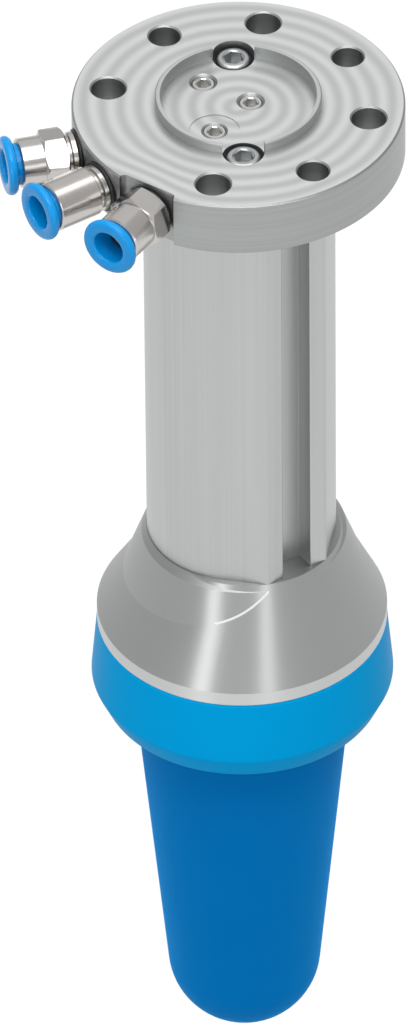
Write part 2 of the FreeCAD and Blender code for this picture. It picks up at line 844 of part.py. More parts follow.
# Static seals in the spigots of the flange and the housing, and the two elastic end stops of the piston.
def make_barrel_rings():
    outer = d.bore_radius
    inner = outer - d.seal_gap - d.seal_depth
    for name, top in (
        ("upper_barrel_seal", flange_foot - d.seal_width),
        ("lower_barrel_seal", gland_top - d.bumper_thickness),
    ):
        foot = top - d.seal_width
        turned(name, [(inner, foot), (outer, foot), (outer, top), (inner, top)])
    wide = outer - d.bumper_gap
    for name, foot in (("upper_bumper", spigot_foot - d.bumper_thickness), ("lower_bumper", gland_top)):
        top = foot + d.bumper_thickness
        inside = d.bumper_inner_radius
        turned(name, [(inside, foot), (wide, foot), (wide, top), (inside, top)])


# The piston carries two seals, a guide band and a magnet in turned grooves, and the nut that holds it to the rod.
def make_piston():
    radius = d.bore_radius - d.running_gap
    groove = radius - d.piston_groove_depth
    widths = (
        ("lower_piston_seal", d.seal_width, d.bore_radius - d.seal_gap),
        ("piston_magnet", d.magnet_width, radius - d.magnet_gap),
        ("piston_guide_band", d.guide_band_width, d.bore_radius - d.seal_gap),
        ("upper_piston_seal", d.seal_width, d.bore_radius - d.seal_gap),
    )
    rings = d.seal_width * 2 + d.magnet_width + d.guide_band_width
    land = (d.piston_length - rings) / 5
    stud, edge = d.rod_thread_radius, d.flange_edge
    outside = [(radius - edge, piston_foot), (radius, piston_foot + edge)]
    level = piston_foot
    for name, width, outer in widths:
        foot = level + land
        top = foot + width
        outside += [(radius, foot), (groove, foot), (groove, top), (radius, top)]
        turned(name, [(groove, foot), (outer, foot), (outer, top), (groove, top)])
        level = top
    outside += [(radius, piston_top - edge), (radius - edge, piston_top)]
    floor = piston_top - d.nut_pocket_depth
    turned(
        "piston",
        [
            (stud, piston_foot),
            *outside,
            (d.nut_pocket_radius, piston_top),
            (d.nut_pocket_radius, floor),
            (stud, floor),
        ],
    )
    hex_nut("piston_nut", floor, d.nut_height)


def hex_nut(name, foot, height):
    """A hexagon nut on the rod's thread."""
    body = start_body(name)
    plan = hexagon(start_sketch(body, "XY_Plane", f"{name}_plan"), d.nut_across_flats)
    circles(plan, [(0, 0, d.rod_thread_radius)])
    feature(body, "Pad", plan, f"{name}_block", Length=height)
    pieces.append(put(body, 0, 0, foot))


# The rod is shouldered at both ends: a stud through the piston above, a thread into the tip insert below.
def make_rod():
    stud, rod = d.rod_thread_radius, d.rod_radius
    thread_foot = insert_top - d.insert_thread_depth + d.insert_thread_spare
    turned(
        "piston_rod",
        [
            (0, thread_foot),
            (stud, thread_foot),
            (stud, locknut_top),
            (rod, locknut_top),
            (rod, piston_foot),
            (stud, piston_foot),
            (stud, stud_top),
            (0, stud_top),
        ],
    )
    hex_nut("rod_locknut", insert_top, d.locknut_height)
    flange, stem = d.insert_radius, d.insert_stem_radius
    bottom = insert_top - d.insert_thread_depth
    turned(
        "tip_insert",
        [
            (0, insert_foot),
            (flange, insert_foot),
            (flange, insert_ledge),
            (stem, insert_ledge),
            (stem, insert_top),
            (stud, insert_top),
            (stud, bottom),
            (0, bottom),
        ],
    )


# In the gland: the rod seal, the bearing bush, the wiper and the circlip that keeps them in.
def make_gland_parts():
    seat, tight = d.gland_bore_radius, d.rod_radius + d.seal_gap
    turned("rod_seal", [(tight, bush_top), (seat, bush_top), (seat, rod_seal_top), (tight, rod_seal_top)])
    turned("rod_bush", [(rod_way, wiper_top), (seat, wiper_top), (seat, bush_top), (rod_way, bush_top)])
    turned("rod_wiper", [(tight, circlip_top), (seat, circlip_top), (seat, wiper_top), (tight, wiper_top)])
    inner, outer = d.circlip_inner_radius, seat + d.circlip_bite
    foot = circlip_top - d.circlip_width
    turned("gland_circlip", [(inner, foot), (outer, foot), (outer, circlip_top), (inner, circlip_top)])


# The union ring screws onto the skirt and clamps the bead of the cap on its inner ledge.
def make_clamping_ring():
    thread, ledge = d.skirt_radius, d.cap_radius + d.cap_gap
    turned(
        "clamping_ring",
        [
            (thread, ring_top),
            (thread, bead_foot),
            (ledge, bead_foot),
            (ledge, ring_foot),
            (d.skirt_radius + d.ring_foot_wall, ring_foot),
            (d.skirt_radius + d.ring_wall, ring_top - d.ring_max_depth),
            (rim_radius, ring_top),
        ],
    )


# The cap tapers to a round tip of even wall, with a clamped bead above and a boss that grips the tip insert.
def make_cap():
    radius, wall, taper = d.cap_radius, d.cap_wall, d.cap_taper_angle
    dome, inner_dome = d.cap_dome_radius, d.cap_dome_radius - wall
    inner = radius - wall / taper.cos()
    bead, gap = d.skirt_radius - d.cap_bead_gap, d.insert_gap
    pocket, stem = d.insert_radius + gap, d.insert_stem_radius + gap
    grip = d.cap_grip_radius
    grip_foot = dome_level - (inner_dome * inner_dome - grip * grip).root()
    grip_top = insert_ledge + d.cap_grip_overlap
    turned(
        "silicone_cap",
        [
            (inner, skirt_foot),
            (bead, skirt_foot),
            (bead, bead_foot),
            (radius, bead_foot),
            (radius, ring_foot),
            (dome * taper.cos(), dome_level - dome * taper.sin()),
            (0, cap_tip, dome, -1),
            (0, insert_foot - gap),
            (pocket, insert_foot - gap),
            (pocket, insert_ledge + gap),
            (stem, insert_ledge + gap),
            (stem, grip_top),
            (grip, grip_top),
            (grip, grip_foot),
            (inner_dome * taper.cos(), dome_level - inner_dome * taper.sin(), inner_dome, 1),
            (inner, ring_foot),
        ],
    )


make_flange()
screw_places = [(d.screw_circle_radius, d.screw_angle.value + turn) for turn in (0, 180)]
flange_screw_seat = -(d.screw_sink + d.head_height)
socket_screws("flange_screws", screw_places, flange_screw_seat, d.flange_screw_length, d.hex_across_flats)
plug_top = -(d.recess_depth + d.plug_sink)
plug_hex = d.plug_hex_across_flats
socket_screws("channel_plugs", PLUG_PLACES, plug_top, d.plug_length, plug_hex, head=False)
for fitting_side in FITTING_SIDES:
    make_fitting(fitting_side)
make_barrel()
make_barrel_rings()
make_piston()
make_rod()
make_housing()
foot_places = [(d.channel_circle_radius, angle) for angle in BOLT_ANGLES]
foot_length = d.housing_screw_length
socket_screws("housing_screws", foot_places, deck_foot, foot_length, d.hex_across_flats, flip=True)
make_gland_parts()
make_clamping_ring()
make_cap()
doc.recompute()

broken = [item.Label for item in doc.Objects if not {"Invalid", "Error"}.isdisjoint(item.State)]
broken += [piece.Label for piece in pieces if piece.Shape.isNull() or not piece.Shape.isValid()]
if broken:
    raise RuntimeError(f"not sound: {broken}")
for piece in pieces:
    piece.Shape.exportStep(f"parts/{piece.Label}.step")
    print(piece.Label, len(piece.Shape.Solids), round(piece.Shape.Volume, 2))
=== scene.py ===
import math

import bmesh
import bpy
from mathutils import Matrix, Vector


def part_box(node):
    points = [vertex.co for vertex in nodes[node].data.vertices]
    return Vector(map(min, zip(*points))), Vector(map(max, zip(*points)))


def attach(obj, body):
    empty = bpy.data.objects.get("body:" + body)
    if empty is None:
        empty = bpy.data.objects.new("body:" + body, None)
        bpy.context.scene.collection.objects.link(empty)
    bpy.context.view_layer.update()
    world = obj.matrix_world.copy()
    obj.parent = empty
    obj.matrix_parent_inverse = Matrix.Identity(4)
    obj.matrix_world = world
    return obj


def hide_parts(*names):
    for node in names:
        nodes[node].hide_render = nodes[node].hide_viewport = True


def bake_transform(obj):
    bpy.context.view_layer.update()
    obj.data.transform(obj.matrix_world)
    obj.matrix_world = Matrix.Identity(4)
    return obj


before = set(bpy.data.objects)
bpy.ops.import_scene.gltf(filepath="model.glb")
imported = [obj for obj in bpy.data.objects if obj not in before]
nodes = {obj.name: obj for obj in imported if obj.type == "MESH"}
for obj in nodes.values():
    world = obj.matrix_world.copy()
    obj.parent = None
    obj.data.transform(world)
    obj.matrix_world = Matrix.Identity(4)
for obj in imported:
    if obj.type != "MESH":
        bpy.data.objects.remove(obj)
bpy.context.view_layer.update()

# Robot flange: a disc turned and face milled from aluminium, with a thin centring collar, bolt and dowel
# holes, two sunk screw seats, and a flat and two spot faces for the fittings. The cutter left shallow rings
# on the face, and the lathe fine lines round the rim.
mm = 0.001
flange_low, flange_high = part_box("robot_flange")
collar_top = flange_high.z
face = 0.0
flange_radius = 31.5 * mm
flange_foot = -11.3 * mm
recess_floor = -0.9 * mm
port_level = -5.9 * mm
port_angles = {"left": 160.5, "middle": 180, "right": 202}


def linear(colour):
    """An sRGB hex colour as linear values."""
    parts = [int(colour[i:i + 2], 16) / 255 for i in (1, 3, 5)]
    return tuple(p / 12.92 if p <= 0.04045 else ((p + 0.055) / 1.055) ** 2.4 for p in parts) + (1.0,)


def add(material, kind, inputs=None, **settings):
    """Add a node: settings are its own fields; inputs are values, or sockets to link from."""
    tree = material.node_tree
    made = tree.nodes.new(kind)
    for name, value in settings.items():
        setattr(made, name, value)
    for name, value in (inputs or {}).items():
        if isinstance(value, bpy.types.NodeSocket):
            tree.links.new(value, made.inputs[name])
        else:
            made.inputs[name].default_value = value
    return made


def surface(name, **values):
    """A material with only a Principled shader; returns both."""
    material = bpy.data.materials.new(name)
    material.use_nodes = True
    shader = material.node_tree.nodes["Principled BSDF"]
    for key, value in values.items():
        shader.inputs[key.replace("_", " ")].default_value = value
    return material, shader


def join(material, source, shader, name):
    """Link a socket to an input of the shader."""
    material.node_tree.links.new(source, shader.inputs[name])


def spun(outline, steps=192):
    """A bmesh turned about Z from a closed outline of (radius, height) in metres."""
    shape = bmesh.new()
    corners = [shape.verts.new((r, 0, z)) for r, z in outline]
    edges = [shape.edges.new((corners[i - 1], corners[i])) for i in range(len(corners))]
    bmesh.ops.spin(shape, geom=corners + edges, axis=(0, 0, 1), cent=(0, 0, 0), angle=math.tau,
                   steps=steps, use_merge=True)
    bmesh.ops.remove_doubles(shape, verts=shape.verts, dist=1e-7)
    flat = [edge for edge in shape.edges if not edge.link_faces]
    bmesh.ops.delete(shape, geom=flat, context="EDGES")
    bmesh.ops.recalc_face_normals(shape, faces=shape.faces)
    return shape


def prism(outline, low, high):
    """A bmesh extruded along Z from a closed plan outline of (x, y)."""
    shape = bmesh.new()
    base = shape.faces.new([shape.verts.new((x, y, low)) for x, y in outline])
    grown = bmesh.ops.extrude_face_region(shape, geom=[base])
    tops = [item for item in grown["geom"] if isinstance(item, bmesh.types.BMVert)]
    bmesh.ops.translate(shape, verts=tops, vec=(0, 0, high - low))
    bmesh.ops.recalc_face_normals(shape, faces=shape.faces)
    return shape


def arc(out, level, across, rise, start, end, steps):
    """Outline points round (out, level), given the arc's two radii and its angles in degrees."""
    turns = [math.radians(start + (end - start) * step / steps) for step in range(steps + 1)]
    return [(out + across * math.cos(turn), level + rise * math.sin(turn)) for turn in turns]


def rod(radius, low, high, steps=64):
    """A bmesh cylinder about Z."""
    return spun([(0, low), (radius, low), (radius, high), (0, high)], steps)


def moved(shape, x=0.0, y=0.0, z=0.0, turn=None):
    """Turn a bmesh about its origin, then move it."""
    place = Matrix.Translation((x, y, z)) @ (turn or Matrix.Identity(4))
    bmesh.ops.transform(shape, matrix=place, verts=shape.verts)
    return shape


def outwards(angle):
    """The turn that takes +Z to a level direction and +X upwards."""
    along = Vector((math.cos(math.radians(angle)), math.sin(math.radians(angle)), 0))
    up = Vector((0, 0, 1))
    return Matrix((up, along.cross(up), along)).transposed().to_4x4()


def ray(radius, angle):
    """The plan point at a radius and an angle."""
    return radius * math.cos(math.radians(angle)), radius * math.sin(math.radians(angle))


def piece(name, shape, body, material, sharp=30, replaces=()):
    """Make a finished object from a bmesh: smooth faces, sharp edges kept, riding on its body."""
    mesh = bpy.data.meshes.new(name)
    shape.to_mesh(mesh)
    shape.free()
    made = bpy.data.objects.new(name, mesh)
    bpy.context.collection.objects.link(made)
    mesh.shade_smooth()
    mesh.set_sharp_from_angle(angle=math.radians(sharp))
    mesh.materials.append(material)
    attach(made, body)
    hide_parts(*replaces)
    return made


def combine(shape, others, operation="DIFFERENCE"):
    """Cut other bmeshes from one, or join or keep what they share, with Blender's exact solver."""
    result = bpy.data.meshes.new("work")
    shape.to_mesh(result)
    shape.free()
    base = bpy.data.objects.new("work", result)
    bpy.context.collection.objects.link(base)
    helpers = []
    for other in others:
        mesh = bpy.data.meshes.new("tool")
        other.to_mesh(mesh)
        other.free()
        tool = bpy.data.objects.new("tool", mesh)
        bpy.context.collection.objects.link(tool)
        helpers.append(tool)
        step = base.modifiers.new("step", "BOOLEAN")
        step.operation, step.solver, step.object = operation, "EXACT", tool
    bpy.context.view_layer.update()
    seen = base.evaluated_get(bpy.context.evaluated_depsgraph_get())
    out = bmesh.new()
    out.from_mesh(seen.to_mesh())
    seen.to_mesh_clear()
    for item in [base, *helpers]:
        mesh = item.data
        bpy.data.objects.remove(item)
        bpy.data.meshes.remove(mesh)
    bmesh.ops.remove_doubles(out, verts=out.verts, dist=2e-7)
    return out


def soften(made, width, angle=35, segments=2):
    """A small even edge break on a piece's sharp edges."""
    bevel = made.modifiers.new("edge_break", "BEVEL")
    bevel.width, bevel.segments = width, segments
    bevel.limit_method, bevel.angle_limit = "ANGLE", math.radians(angle)
    bevel.harden_normals = True
    return made


milled, shader = surface("milled_aluminium", Metallic=1.0, Roughness=0.42)
place = add(milled, "ShaderNodeTexCoord").outputs["Object"]
split = add(milled, "ShaderNodeSeparateXYZ", {"Vector": place}).outputs
plan = add(milled, "ShaderNodeCombineXYZ", {"X": split["X"], "Y": split["Y"]}).outputs["Vector"]
radius = add(milled, "ShaderNodeVectorMath", {0: plan}, operation="LENGTH").outputs["Value"]
# The cutter's path is one pass wide, and it bends inwards round the milled flat of the right fitting.
pass_width, path_wander = 3.4 * mm, 1.1 * mm
bend_centre, bend_reach = (*ray(33 * mm, 199), 0), 14 * mm
away = add(milled, "ShaderNodeVectorMath", {0: plan, 1: bend_centre}, operation="DISTANCE").outputs["Value"]
near = add(milled, "ShaderNodeMapRange",
           {"Value": away, "From Min": 0.0, "From Max": bend_reach, "To Min": pass_width, "To Max": 0.0},
           interpolation_type="SMOOTHSTEP").outputs["Result"]
path = add(milled, "ShaderNodeMath", {0: radius, 1: near}, operation="ADD").outputs["Value"]
wander = add(milled, "ShaderNodeTexNoise", {"Vector": place, "Scale": 60.0, "Detail": 2.0}).outputs["Fac"]
path = add(milled, "ShaderNodeMath", {0: wander, 1: path_wander, 2: path},
           operation="MULTIPLY_ADD").outputs["Value"]
ring = add(milled, "ShaderNodeMath", {0: path, 1: math.tau / pass_width},
           operation="MULTIPLY").outputs["Value"]
ring = add(milled, "ShaderNodeMath", {0: ring}, operation="SINE").outputs["Value"]
swirl = add(milled, "ShaderNodeTexNoise", {"Vector": place, "Scale": 1600.0, "Detail": 4.0, "Roughness": 0.7})
lathe = add(milled, "ShaderNodeMapping", {"Vector": place, "Scale": (18, 18, 5200)})
lines = add(milled, "ShaderNodeTexNoise", {"Vector": lathe.outputs["Vector"], "Scale": 1.0, "Detail": 3.0})
normal = add(milled, "ShaderNodeNewGeometry").outputs["Normal"]
upright = add(milled, "ShaderNodeSeparateXYZ", {"Vector": normal}).outputs["Z"]
facing = add(milled, "ShaderNodeMath", {0: upright}, operation="ABSOLUTE").outputs["Value"]
facing = add(milled, "ShaderNodeMath", {0: facing, 1: 0.9}, operation="GREATER_THAN").outputs["Value"]
height = add(milled, "ShaderNodeMix", {"Factor": facing, "A": lines.outputs["Fac"], "B": ring})
bump = add(milled, "ShaderNodeBump",
           {"Height": height.outputs["Result"], "Strength": 0.22, "Distance": 0.12 * mm})
grain = add(milled, "ShaderNodeBump",
            {"Height": swirl.outputs["Fac"], "Strength": 0.25, "Distance": 0.03 * mm,
             "Normal": bump.outputs["Normal"]})
join(milled, grain.outputs["Normal"], shader, "Normal")
# Level faces take the lighter colours and upright sides the darker ones: painted light on the face and
# painted shade on the sides, over the real tone of the cutter rings and lathe lines.
tone = add(milled, "ShaderNodeMath", {0: ring, 1: 0.3, 2: 0.5}, operation="MULTIPLY_ADD").outputs["Value"]
level = add(milled, "ShaderNodeMix", {"Factor": tone, "A": linear("#bfc1c0"), "B": linear("#e6e7e7")},
            data_type="RGBA")
side = add(milled, "ShaderNodeMix",
           {"Factor": lines.outputs["Fac"], "A": linear("#979999"), "B": linear("#adafaf")}, data_type="RGBA")
paint = add(milled, "ShaderNodeMix",
            {"Factor": facing, "A": side.outputs["Result"], "B": level.outputs["Result"]}, data_type="RGBA")
join(milled, paint.outputs["Result"], shader, "Base Color")

edge = 0.35 * mm
collar_radius, collar_wall = 15.75 * mm, 0.9 * mm
spigot = 9.95 * mm
blank = spun([
    (0, recess_floor), (0, flange_low.z), (spigot, flange_low.z), (spigot, flange_foot),
    (flange_radius - edge, flange_foot), (flange_radius, flange_foot + edge),
    (flange_radius, face - edge), (flange_radius - edge, face), (collar_radius, face),
    (collar_radius, collar_top - 0.2 * mm), (collar_radius - 0.2 * mm, collar_top),
    (collar_radius - collar_wall, collar_top), (collar_radius - collar_wall, recess_floor),
], 256)
cutters = []
bolt_circle, bolt_hole, dowel_hole, lip = 25 * mm, 3.3 * mm, 3.0 * mm, 0.3 * mm
for angle, hole in [(a, bolt_hole) for a in (45, 135, 225, 315)] + [(a, dowel_hole) for a in (0, 90, 270)]:
    drill = spun([
        (0, flange_foot - 1 * mm), (hole + lip + 1 * mm, flange_foot - 1 * mm), (hole, flange_foot + lip),
        (hole, face - lip), (hole + lip + 1 * mm, face + 1 * mm), (0, face + 1 * mm),
    ], 72)
    cutters.append(moved(drill, *ray(bolt_circle, angle)))
screw_circle, screw_angles = 15.1 * mm, (59.5, 239.5)
screw_seat, screw_seat_radius = -4.4 * mm, 4.0 * mm
for angle in screw_angles:
    cutters.append(moved(rod(screw_seat_radius, screw_seat, 4 * mm, 72), *ray(screw_circle, angle)))
plug_places = ((2.8 * mm, 0.0), (10.0 * mm, 97.5), (8.5 * mm, 204.0))
plug_bore, plug_sink, plug_floor = 2.25 * mm, 2.75 * mm, -4.6 * mm
for radius_out, angle in plug_places:
    seat = spun([
        (0, plug_floor), (plug_bore, plug_floor), (plug_bore, recess_floor - 0.45 * mm),
        (plug_sink, recess_floor + 0.05 * mm), (plug_sink, 3 * mm), (0, 3 * mm),
    ], 64)
    cutters.append(moved(seat, *ray(radius_out, angle)))
spot_radius, spot_floor = 4.8 * mm, -1.05 * mm
cutters.append(moved(rod(spot_radius, spot_floor, 3 * mm, 72), *ray(*plug_places[2])))
flat_reach, flat_half, bend = 29.75 * mm, 6.1 * mm, 1.2 * mm
hollow = arc(flat_reach + bend, flat_half - bend, bend, bend, 90, 180, 8)
plan_outline = [(40 * mm, flat_half), *hollow, *[(x, -y) for x, y in reversed(hollow)], (40 * mm, -flat_half)]
notch = prism(plan_outline, -13 * mm, 2 * mm)
cutters.append(moved(notch, turn=Matrix.Rotation(math.radians(port_angles["right"]), 4, "Z")))
seat_reach, spot_face = 31.1 * mm, 5.1 * mm
for side in ("left", "middle"):
    angle = port_angles[side]
    cutters.append(moved(rod(spot_face, 0, 3 * mm, 72), *ray(seat_reach, angle), port_level, outwards(angle)))
shape = combine(blank, cutters)
flange = piece("flange", shape, "housing", milled, replaces=["robot_flange"])
soften(flange, 0.1 * mm, angle=50)

# Socket head screws: cold formed, zinc plated steel, so that they look a little patchy, with a hexagon socket
# in a rounded head. Two hold the flange to the barrel, and four more sit inside the housing.
screw_steel, shader = surface("zinc_plated_steel", Base_Color=linear("#b9bbbc"), Metallic=1.0)
place = add(screw_steel, "ShaderNodeTexCoord").outputs["Object"]
wear = add(screw_steel, "ShaderNodeTexNoise", {"Vector": place, "Scale": 900.0, "Detail": 4.0})
rough = add(screw_steel, "ShaderNodeMapRange", {"Value": wear.outputs["Fac"], "To Min": 0.2, "To Max": 0.42})
join(screw_steel, rough.outputs["Result"], shader, "Roughness")
dent = add(screw_steel, "ShaderNodeBump",
           {"Height": wear.outputs["Fac"], "Strength": 0.15, "Distance": 0.05 * mm})
join(screw_steel, dent.outputs["Normal"], shader, "Normal")


def hexagon(across, turn=0.0):
    """Plan corners of a hexagon, measured across its flats, the first corner at the given angle."""
    reach = across / 2 / math.cos(math.radians(30))
    return [ray(reach, turn + 60 * corner) for corner in range(6)]


def socket_screw(length):
    """A cap screw about Z, the underside of its head at zero."""
    head, top, shank = 3.3 * mm, 3.6 * mm, 1.98 * mm
    rounding, socket, socket_depth = 0.8 * mm, 3.5 * mm, 2.4 * mm
    outline = [(0, -length), (shank, -length), (shank, 0), (head, 0)]
    outline += arc(head - rounding, top - rounding, rounding, rounding, 0, 90, 5)
    outline += [(2.15 * mm, top), (1.9 * mm, top - 0.25 * mm), (0, top - 0.25 * mm)]
    return combine(spun(outline, 72), [prism(hexagon(socket), top - socket_depth, top + 1 * mm)])


for number, angle in enumerate(screw_angles, start=1):
    screw = moved(socket_screw(20 * mm), *ray(screw_circle, angle), screw_seat,
                  Matrix.Rotation(math.radians(angle + 10), 4, "Z"))
    made = piece(f"flange_screw_{number}", screw, "housing", screw_steel)
    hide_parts("flange_screws")

# Channel plugs: short set screws of nickel plated steel, polished bright, that close the drilled air
# channels. They are screwed in until they lie just under the floor of the recess.
plug_steel, shader = surface("bright_nickel", Base_Color=linear("#d5d5d3"), Metallic=1.0, Roughness=0.16)
place = add(plug_steel, "ShaderNodeTexCoord").outputs["Object"]
wear = add(plug_steel, "ShaderNodeTexNoise", {"Vector": place, "Scale": 1400.0, "Detail": 3.0})
dent = add(plug_steel, "ShaderNodeBump",
           {"Height": wear.outputs["Fac"], "Strength": 0.25, "Distance": 0.05 * mm})
join(plug_steel, dent.outputs["Normal"], shader, "Normal")
top, plug_foot = recess_floor - 0.25 * mm, recess_floor - 3.65 * mm
plug_radius, socket, socket_depth = 2.2 * mm, 2.5 * mm, 1.8 * mm
for number, (radius_out, angle) in enumerate(plug_places, start=1):
    outline = [
        (0, plug_foot), (plug_radius, plug_foot), (plug_radius, top - 0.3 * mm), (1.95 * mm, top),
        (1.55 * mm, top), (1.35 * mm, top - 0.2 * mm), (0, top - 0.2 * mm),
    ]
    plug = combine(spun(outline, 64), [prism(hexagon(socket, 15), top - socket_depth, top + 1 * mm)])
    plug = moved(plug, *ray(radius_out, angle))
    made = piece(f"channel_plug_{number}", plug, "housing", plug_steel)
    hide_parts("channel_plugs")

# Push-in fittings: turned brass with a thin bright nickel plating, two with a spanner hexagon, one plain.
# They are screwed in on a black rubber seal ring, and pushing the glossy blue release ring in frees the tube.
nickel, shader = surface("nickel_plated_brass", Base_Color=linear("#c3c0bd"), Metallic=1.0)
place = add(nickel, "ShaderNodeTexCoord").outputs["Object"]
wear = add(nickel, "ShaderNodeTexNoise", {"Vector": place, "Scale": 500.0, "Detail": 5.0, "Roughness": 0.7})
rough = add(nickel, "ShaderNodeMapRange", {"Value": wear.outputs["Fac"], "To Min": 0.12, "To Max": 0.3})
join(nickel, rough.outputs["Result"], shader, "Roughness")
dent = add(nickel, "ShaderNodeBump", {"Height": wear.outputs["Fac"], "Strength": 0.06, "Distance": 0.05 * mm})
join(nickel, dent.outputs["Normal"], shader, "Normal")

seal_rubber, shader = surface("black_nitrile_rubber", Base_Color=linear("#161616"), Roughness=0.45)
place = add(seal_rubber, "ShaderNodeTexCoord").outputs["Object"]
mould = add(seal_rubber, "ShaderNodeTexNoise", {"Vector": place, "Scale": 2200.0, "Detail": 2.0})
dent = add(seal_rubber, "ShaderNodeBump",
           {"Height": mould.outputs["Fac"], "Strength": 0.2, "Distance": 0.04 * mm})
join(seal_rubber, dent.outputs["Normal"], shader, "Normal")

release_blue, shader = surface("glossy_blue_plastic", Base_Color=linear("#0093dc"))
shader.inputs["Specular IOR Level"].default_value = 0.3
shader.inputs["Subsurface Weight"].default_value = 0.12
shader.inputs["Subsurface Scale"].default_value = 0.6 * mm
shader.inputs["Subsurface Radius"].default_value = (0.3, 0.6, 1.0)
place = add(release_blue, "ShaderNodeTexCoord").outputs["Object"]
mould = add(release_blue, "ShaderNodeTexNoise", {"Vector": place, "Scale": 700.0, "Detail": 2.0})
rough = add(release_blue, "ShaderNodeMapRange",
            {"Value": mould.outputs["Fac"], "To Min": 0.14, "To Max": 0.26})
join(release_blue, rough.outputs["Result"], shader, "Roughness")

fitting_radius, collar, neck, stud, way = 4.8 * mm, 4.5 * mm, 4.0 * mm, 3.45 * mm, 1.5 * mm
collet_room, tube_room, chamfer = 4.35 * mm, 3.05 * mm, 0.3 * mm
seal, seal_outer, seal_inner = 0.8 * mm, 4.9 * mm, 3.5 * mm
rounding = seal / 2
across, corner, corner_foot = 10 * mm, 5.75 * mm, 4.95 * mm
lip, opening, sleeve, claw_end = 5.7 * mm, 3.15 * mm, 4.0 * mm, 4.3 * mm
# For each side: the length, and for the hexagon its start above the seal, its length and its turn.
cuts = {
    "left": (11.8 * mm, 1.9 * mm, 4.6 * mm, 45),
    "middle": (11.8 * mm, None, None, None),
    "right": (11.4 * mm, 0.02 * mm, 4.8 * mm, 10),
}
for side, angle in port_angles.items():
    length, above_seal, long, turn = cuts[side]
    seat_face = flat_reach if side == "right" else seat_reach
    place_on = (*ray(seat_face, angle), port_level, outwards(angle))
    foot = [
        (collar - 0.15 * mm, seal), (collar, seal + 0.15 * mm), (collar, seal + 1.0 * mm),
        (neck, seal + 1.2 * mm), (neck, seal + 1.8 * mm), (fitting_radius - 0.2 * mm, seal + 2.0 * mm),
        (fitting_radius, seal + 2.2 * mm),
    ]
    if side == "right":
        foot = [(collar, seal), (fitting_radius, seal + 0.3 * mm)]
    outline = [
        (way, -6 * mm), (stud, -6 * mm), (stud, seal), *foot,
        (fitting_radius, length - chamfer), (fitting_radius - chamfer, length),
        (4.05 * mm, length), (4.05 * mm, length - 1.4 * mm), (collet_room, length - 1.4 * mm),
        (collet_room, length - 6.65 * mm), (tube_room, length - 6.65 * mm), (tube_room, length - 11.15 * mm),
        (way, length - 11.15 * mm),
    ]
    shape = moved(spun(outline, 128), *place_on)
    made = piece(f"{side}_fitting", shape, "housing", nickel)
    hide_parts(f"{side}_fitting_body")
    if side != "middle":
        start = seal + above_seal
        block = prism(hexagon(across, turn), start, start + long)
        limit = spun([
            (4.5 * mm, start - 1 * mm), (corner_foot, start), (corner, start + 0.5 * mm),
            (corner, start + long - 0.5 * mm), (corner_foot, start + long), (4.5 * mm, start + long + 1 * mm),
        ], 128)
        shape = moved(combine(block, [limit], "INTERSECT"), *place_on)
        nut = piece(f"{side}_fitting_hexagon", shape, "housing", nickel)
        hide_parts(f"{side}_fitting_body")
    ring_outline = [(seal_inner, 0.02 * mm), (seal_inner, seal)]
    ring_outline += arc(seal_outer - rounding, seal / 2, rounding, seal / 2 - 0.01 * mm, 90, -90, 8)
    shape = moved(spun(ring_outline, 96), *place_on)
    made = piece(f"{side}_seal_ring", shape, "housing", seal_rubber)
    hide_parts(f"{side}_outer_seal")
    lip_foot = length + 1.05 * mm
    lip_top = lip_foot + 1.8 * mm
    outline = [
        (opening, length - 2.05 * mm), (claw_end, length - 2.05 * mm), (claw_end, length - 1.45 * mm),
        (sleeve, length - 1.45 * mm), (sleeve, lip_foot), (lip - 0.5 * mm, lip_foot),
    ]
    outline += arc(lip - 0.75 * mm, (lip_foot + lip_top) / 2, 0.75 * mm, 0.9 * mm, -90, 90, 8)
    outline += arc(opening + 0.7 * mm, lip_top - 0.7 * mm, 0.7 * mm, 0.7 * mm, 90, 180, 5)
    shape = moved(spun(outline, 128), *place_on)
    made = piece(f"{side}_ring_of_fitting", shape, f"{side}_ring", release_blue)
    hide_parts(f"{side}_release_ring")

# Barrel: extruded and drawn aluminium tube, clear anodised, so that long fine lines run down it. A lobe on
# one side carries the open slot for the position sensor.
drawn, shader = surface("drawn_anodised_aluminium", Metallic=1.0, Roughness=0.4)
place = add(drawn, "ShaderNodeTexCoord").outputs["Object"]
along = add(drawn, "ShaderNodeMapping", {"Vector": place, "Scale": (1500, 1500, 9)})
lines = add(drawn, "ShaderNodeTexNoise", {"Vector": along.outputs["Vector"], "Scale": 1.0, "Detail": 3.0})
# Broad noise bands down the tube lighten and darken its colour: painted reflection stripes of light and
# shade, mixed with the real fine drawing lines.
reflection_band_stretch = add(drawn, "ShaderNodeMapping", {"Vector": place, "Scale": (260, 260, 4)})
painted_reflection_bands = add(drawn, "ShaderNodeTexNoise", {"Vector": reflection_band_stretch.outputs["Vector"], "Scale": 1.0, "Detail": 2.0})
tone = add(drawn, "ShaderNodeMix", {"Factor": 0.5, "A": lines.outputs["Fac"], "B": painted_reflection_bands.outputs["Fac"]})
paint = add(drawn, "ShaderNodeMix",
            {"Factor": tone.outputs["Result"], "A": linear("#a9abaa"), "B": linear("#c3c5c4")},
            data_type="RGBA")
join(drawn, paint.outputs["Result"], shader, "Base Color")
dent = add(drawn, "ShaderNodeBump", {"Height": lines.outputs["Fac"], "Strength": 0.12, "Distance": 0.05 * mm})
join(drawn, dent.outputs["Normal"], shader, "Normal")

